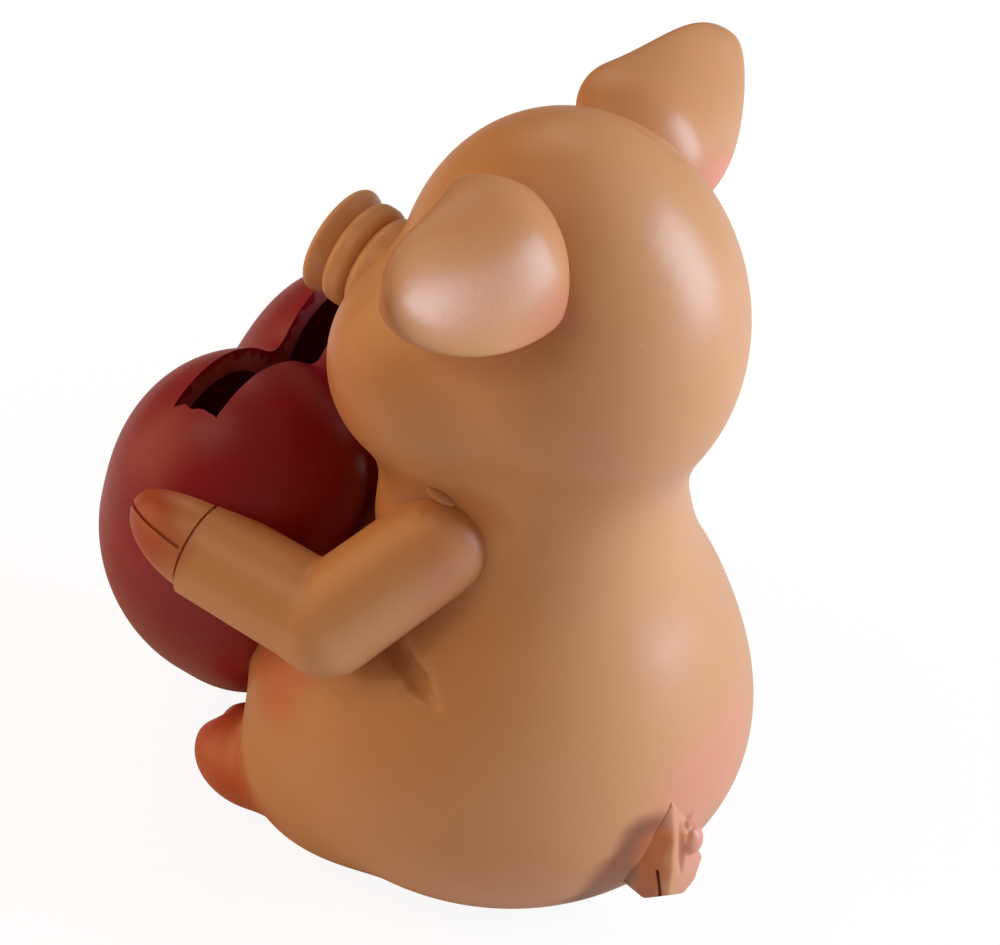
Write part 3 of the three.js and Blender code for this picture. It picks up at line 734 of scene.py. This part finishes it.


# The first stroke is an orange cast over the front, partly the paint's own tone and partly painted shade. The second is
# a paler snout, partly painted light on a snout that head and ears shade. The next two are the pink of back and tail.
strokes = [((0, -30, 55), (0, -30, 75), 42, "#c67f48", 0.45), ((0, -24, 96), (0, -32, 98), 14, "#dfb48c", 0.8),
           ((4, 40, 27), (-4, 40, 27), 16, "#e0937a", 0.5), ((8, 50, 16), (8, 50, 10), 12, "#e39f8b", 0.5)]
for side in (1, -1):
    strokes += [
        ((side * 26, -14, 90), (side * 26, -14, 94), 13, "#c87248", 0.35),
        # painted shade under each ear
        ((side * 20, 20, 114), (side * 23, 8, 109), 10, "#9c5a3a", 0.45),
        # a warmer, darker tone over each ear's face: partly the paint's own tone, partly painted shade
        ((side * 16, 14, 123), (side * 42, 14, 125), 17, "#bf7f4e", 0.45),
        ((side * 21, 24, 117), (side * 27, 24, 113), 6, "#e08d72", 0.3 if side > 0 else 0.75),
        # painted shade in the fold between cheek and shoulder
        ((side * 20, -4, 76), (side * 20, 10, 75), 6, "#a9683a", 0.4),
        ((side * 25, 8, 69), (side * 25, 6, 64), 7, "#cd8562", 0.4),
        ((side * 25, -27, 42), (side * 28, -23, 38), 13, "#d5613c", 0.5),
        ((side * 38, -37, 63), (side * 36, -41, 64), 9, "#aa4429", 0.9),
        ((side * 20, -41, 9), (side * 24, -33, 5), 14, "#c34b37", 0.9),
        ((side * 25, -36, 5), (side * 31, -25, 7), 8, "#c4642f", 0.65),
    ]
strokes += [
    # a painted shadow of the tail on the back, then painted shade on the tail's shaded flank
    ((15.5, 37.5, 24), (19.5, 30, 8), 6, "#793d22", 0.8), ((13.2, 37.4, 22), (12.6, 36.5, 10), 3.6, "#bd6a34", 0.9),
    # the pink of the tail's outer face, then painted shade in the hollow of its curl
    ((6, 40.5, 20), (6, 40.5, 10), 4.5, "#dd9a83", 0.6), ((7.4, 39.5, 21.8), (7.6, 39.5, 20.6), 1.8, "#b5702f", 0.7),
]
hairlines = [(*line, "#f0c8a4", 0.35) for line in (
    ((25.4, 2.8, 96.6), (23.7, 6, 102.9)), ((13, 32, 110.7), (9.5, 34.9, 108.6)))]
hairlines.append(((24.5, 7.4, 98), (23, 15.8, 98.9), "#f0c8a4", 0.2))
# At the right ear's root: a dark line of painted shade for the seam's unmodelled groove, and beside it a pale line of
# painted highlight on its glue
seam_bend = (-7.8, 19.2, 128.7)
hairlines += [((-7.5, 16.7, 129.6), seam_bend, "#7d3f26", 0.8), (seam_bend, (-9.4, 23.9, 125.4), "#7d3f26", 0.8),
              ((-5.5, 20.8, 128.9), (-7.5, 24.9, 125.7), "#f3d0b4", 0.7)]
peach, tan = "#d6a274", "#c9925f"

# Satin acrylic, airbrushed over primed resin: it gives the eye a soft, cloudy skin with broad highlights
skin = sprayed("satin_skin_paint", peach, tan, strokes, 0.35, hairlines)

# The same acrylic on the feet, sprayed before gluing, so no hairlines run over it: brick red toes that fade to peach
hoof = sprayed("satin_trotter_paint", peach, tan, strokes, 0.35)

# Satin red acrylic, brushed on thick until it levelled: one deep colour, a shade rougher, so the heart looks full
red = sprayed("satin_red_paint", "#9c1129", "#840d20", [], 0.38)

# %% Beads
# Black glass enamel, dipped and left to run smooth: small sharp highlights that make the eyes look wet
bead, tree = new_material("gloss_black_enamel")
surface = add(tree, "ShaderNodeBsdfPrincipled", {"Base Color": linear("#14100f"), "Roughness": 0.12, "IOR": 1.5})
add(tree, "ShaderNodeOutputMaterial", {"Surface": surface.outputs[0]})

# %% Bare casting resin
def bare_resin(name, pale, dark):
    """Filled polyester resin as it left the mould, inside the hollows and under the base: matt, a little pitted."""
    # 450 to the metre gives pits of about 2 mm, the size of the bubbles that a poured resin leaves
    material, tree = new_material(name)
    place = add(tree, "ShaderNodeTexCoord", {}).outputs["Object"]
    pits = add(tree, "ShaderNodeTexNoise", {"Vector": place, "Scale": 450, "Detail": 5})
    colour = add(tree, "ShaderNodeMix", {"Factor": pits.outputs["Fac"], 6: linear(pale), 7: linear(dark)},
                 data_type="RGBA")
    bump = add(tree, "ShaderNodeBump", {"Height": pits.outputs["Fac"], "Strength": 0.4, "Distance": 0.3 * MM})
    surface = add(tree, "ShaderNodeBsdfPrincipled", {"Base Color": colour.outputs[2], "Roughness": 0.8,
                                                     "Normal": bump.outputs[0], "IOR": 1.5})
    add(tree, "ShaderNodeOutputMaterial", {"Surface": surface.outputs[0]})
    return material


resin = bare_resin("bare_polyester_resin", "#a8998a", "#8c7c6e")
red_resin = bare_resin("oversprayed_resin", "#b8565e", "#8c3a42")

# %% Rubber
# Moulded nitrile rubber, dusty from the blasted mould: nearly black and without a highlight. The grit of 1.4 mm is
# coarser than real, so that it shows.
rubber, tree = new_material("moulded_black_rubber")
place = add(tree, "ShaderNodeTexCoord", {}).outputs["Object"]
grit = add(tree, "ShaderNodeTexNoise", {"Vector": place, "Scale": 700, "Detail": 4})
bump = add(tree, "ShaderNodeBump", {"Height": grit.outputs["Fac"], "Strength": 0.3, "Distance": 0.3 * MM})
dust = add(tree, "ShaderNodeMix", {"Factor": grit.outputs["Fac"], 6: linear("#1b1a19"), 7: linear("#2b2927")},
           data_type="RGBA")
surface = add(tree, "ShaderNodeBsdfPrincipled", {"Base Color": dust.outputs[2], "Roughness": 0.75,
                                                 "Normal": bump.outputs[0], "IOR": 1.52})
add(tree, "ShaderNodeOutputMaterial", {"Surface": surface.outputs[0]})

# %% [markdown]
# ## Into the scene
# Each piece gets its paint, goes to its place in metres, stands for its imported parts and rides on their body.

# %% Place, paint and ride
finished = [
    (body_skin, skin, "skin_paint", "figurine", ["torso", "head"]),
    (heart_casting, red, "heart_paint", "figurine", ["heart"]),
    (arm_left, skin, "skin_paint", "figurine", ["arm_left"]),
    (arm_right, skin, "skin_paint", "figurine", ["arm_right"]),
    (ear_left, skin, "skin_paint", "figurine", ["ear_left"]),
    (ear_right, skin, "skin_paint", "figurine", ["ear_right"]),
    (snout, skin, "skin_paint", "figurine", ["snout"]),
    (eye_left, bead, "eye_gloss", "figurine", ["eye_left"]),
    (eye_right, bead, "eye_gloss", "figurine", ["eye_right"]),
    (foot_left, hoof, "trotter_paint", "figurine", ["foot_left"]),
    (foot_right, hoof, "trotter_paint", "figurine", ["foot_right"]),
    (tail, skin, "skin_paint", "figurine", ["tail"]),
    (stopper, rubber, "black_rubber", "stopper", ["stopper"]),
]
crisp = math.radians(38)
unpainted = {body_skin: (figure, resin), heart_casting: (heart, red_resin)}
paint_depth = 0.5
for piece, paint, slot_name, body, nodes in finished:
    mesh = piece.data
    mesh.materials.clear()
    mesh.materials.append(paint)
    bare = np.zeros(len(mesh.polygons), int)
    if piece in unpainted:
        form, inner = unpainted[piece]
        mesh.materials.append(inner)
        centres = np.array([face.center[:] for face in mesh.polygons])
        bare = (form.field(centres) < -paint_depth).astype(int)
    mesh.polygons.foreach_set("material_index", bare)
    mesh.transform(figure_place)
    mesh.shade_smooth()
    mesh.set_sharp_from_angle(angle=crisp)
    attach(piece, body)
    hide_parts(*nodes)
print("faces in all:", sum(len(piece.data.polygons) for piece, *_ in finished))

# %% [markdown]
# ## Studio
# A large cool softbox stands behind the pig, as a window would, and gives the soft bright spots on its head and back. A
# warm one fills from the front at half gloss, and two weak ones lift the shaded back and the top. Floor and world are
# pure white only to the camera and through glass. Gloss sees a tenth of it, because nothing here is metal or glass and
# the full white laid a grey veil over the paint. The floor keeps a faint shadow near the pig and is all white further
# off.

# %% Lights and floor
middle = Vector((0, 0, 0.06))


def around(azimuth, elevation, distance):
    """A point at this bearing from the figure: 0 is in front of the pig, and 90 is on its left."""
    a, e = math.radians(azimuth), math.radians(elevation)
    return middle + distance * Vector((math.sin(a) * math.cos(e), -math.cos(a) * math.cos(e), math.sin(e)))


def softbox(name, azimuth, elevation, distance, width, height, power, tint, gloss=1):
    lamp = bpy.data.lights.new(name, "AREA")
    lamp.shape = "RECTANGLE"
    lamp.size, lamp.size_y, lamp.energy, lamp.color = width, height, power, linear(tint)[:3]
    lamp.specular_factor = gloss
    lit = bpy.data.objects.new(name, lamp)
    lit.location = around(azimuth, elevation, distance)
    lit.rotation_euler = (middle - lit.location).to_track_quat("-Z", "Y").to_euler()
    bpy.context.scene.collection.objects.link(lit)


softbox("window_light", 208, 17, 1.0, 0.55, 0.8, 14.2, "#d6e4ff")
softbox("warm_fill", 30, 15, 1.0, 0.9, 0.9, 4.6, "#ffca90", 0.5)
softbox("back_light", 320, 50, 1.0, 0.5, 0.5, 1.1, "#fff2e0")
softbox("overhead_light", 55, 60, 1.0, 0.6, 0.6, 1.7, "#ffe2c4")

# %% Floor and world
def seen_straight(tree):
    """The light path's outputs, and a socket that is 1 for what the camera sees, straight or through glass."""
    path = add(tree, "ShaderNodeLightPath", {}).outputs
    either = add(tree, "ShaderNodeMath", {0: path["Is Camera Ray"], 1: path["Is Transmission Ray"]},
                 operation="MAXIMUM")
    return path, either.outputs[0]


bm = bmesh.new()
bmesh.ops.create_circle(bm, cap_ends=True, segments=96, radius=3)
floor = new_piece("studio_floor", bm)
pale, tree = new_material("pale_floor")
spot = add(tree, "ShaderNodeTexCoord", {}).outputs["Object"]
far = add(tree, "ShaderNodeVectorMath", {0: spot}, operation="LENGTH").outputs["Value"]
shadow_ends, white_from, white_near, over_white = 0.12, 0.5, 0.85, 1.07
fade = add(tree, "ShaderNodeMapRange", {"Value": far, "From Min": shadow_ends, "From Max": white_from,
                                        "To Min": white_near, "To Max": 1})
whiteness = add(tree, "ShaderNodeMath", {0: seen_straight(tree)[1], 1: fade.outputs[0]}, operation="MULTIPLY")
matt = add(tree, "ShaderNodeBsdfDiffuse", {"Color": linear("#f4f2f0")})
glow = add(tree, "ShaderNodeEmission", {"Color": linear("#ffffff"), "Strength": over_white})
surface = add(tree, "ShaderNodeMixShader", {0: whiteness.outputs[0], 1: matt.outputs[0], 2: glow.outputs[0]})
add(tree, "ShaderNodeOutputMaterial", {"Surface": surface.outputs[0]})
floor.data.materials.append(pale)
floor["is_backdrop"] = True

world = bpy.data.worlds.new("studio")
world.use_nodes = True
bpy.context.scene.world = world
tree = world.node_tree
tree.nodes.clear()
path, straight = seen_straight(tree)
gloss_share, room_light = 0.1, 0.18
dimmed = add(tree, "ShaderNodeMath", {0: path["Is Glossy Ray"], 1: gloss_share}, operation="MULTIPLY")
seen = add(tree, "ShaderNodeMath", {0: straight, 1: dimmed.outputs[0]}, operation="MAXIMUM").outputs[0]
tone = add(tree, "ShaderNodeMix", {"Factor": seen, 6: linear("#ffd2a4"), 7: linear("#ffffff")}, data_type="RGBA")
strength = add(tree, "ShaderNodeMapRange", {"Value": seen, "To Min": room_light, "To Max": 1})
back = add(tree, "ShaderNodeBackground", {"Color": tone.outputs[2], "Strength": strength.outputs[0]})
add(tree, "ShaderNodeOutputWorld", {"Surface": back.outputs[0]})

# %% [markdown]
# ## Camera
# The photograph looks down on the pig from behind its left shoulder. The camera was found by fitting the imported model's
# outline to the photograph's: a long lens half a metre away, with a small shift for the framing.

# %% Camera
camera_data = bpy.data.cameras.new("camera")
camera = bpy.data.objects.new("camera", camera_data)
bpy.context.scene.collection.objects.link(camera)
bpy.context.scene.camera = camera
azimuth, elevation = math.radians(125.534), math.radians(37.557)
target = Vector((0, figure_place.translation.y, 59 * MM))
ahead = Vector((-math.sin(azimuth) * math.cos(elevation), math.cos(azimuth) * math.cos(elevation),
                -math.sin(elevation)))
camera_distance, focal_pixels, picture_width = 0.52, 3432, 1000
camera.location = target - ahead * camera_distance
camera.rotation_euler = ahead.to_track_quat("-Z", "Y").to_euler()
camera_data.sensor_width = 36
camera_data.lens = focal_pixels / picture_width * camera_data.sensor_width
camera_data.shift_x, camera_data.shift_y = -0.004, 0.0436
camera_data.clip_start = 0.01
bpy.context.scene.view_settings.view_transform = "Standard"

# %% Measure and finish
visual_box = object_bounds()
for name, box in (("cad", cad_box), ("visual", visual_box)):
    print(name, [[round(v / MM, 2) for v in corner] for corner in box])
